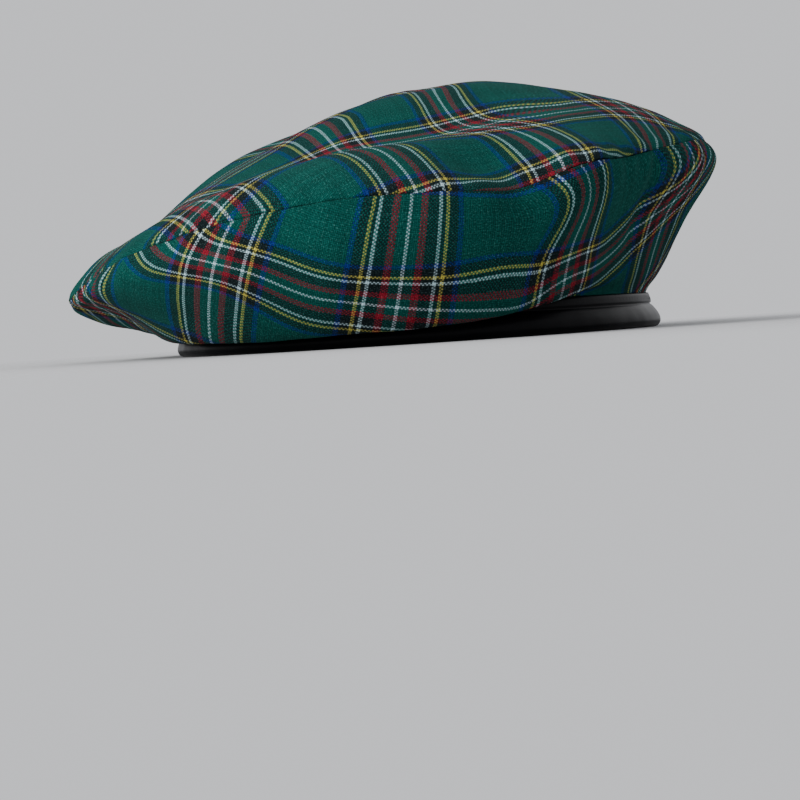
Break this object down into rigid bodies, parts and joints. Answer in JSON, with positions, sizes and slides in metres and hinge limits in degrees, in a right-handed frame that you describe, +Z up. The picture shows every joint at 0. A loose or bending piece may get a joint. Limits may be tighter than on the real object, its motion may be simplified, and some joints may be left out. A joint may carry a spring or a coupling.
{
  "type": "tam o shanter cap",
  "caption": "Soft beret-shaped tartan cloth cap with a round crown, a drooping side panel and a black folded binding round the head opening.",
  "frame": {"origin": "under the middle of the cap's box, on the flat foot of the binding", "axes": "+Z up through the crown, -Y towards the wearer's brow, +X towards the wearer's left"},
  "size_m": [0.2262, 0.2638, 0.0898],
  "materials": {
    "tartan": "matt plain-woven cotton in a green tartan with blue, black, yellow, white and red lines",
    "binding": "smooth black leathercloth with a soft sheen"
  },
  "bodies": {
    "root": {"top_panel": "tartan", "side_panel": "tartan", "binding": "binding"}
  },
  "joints": []
}
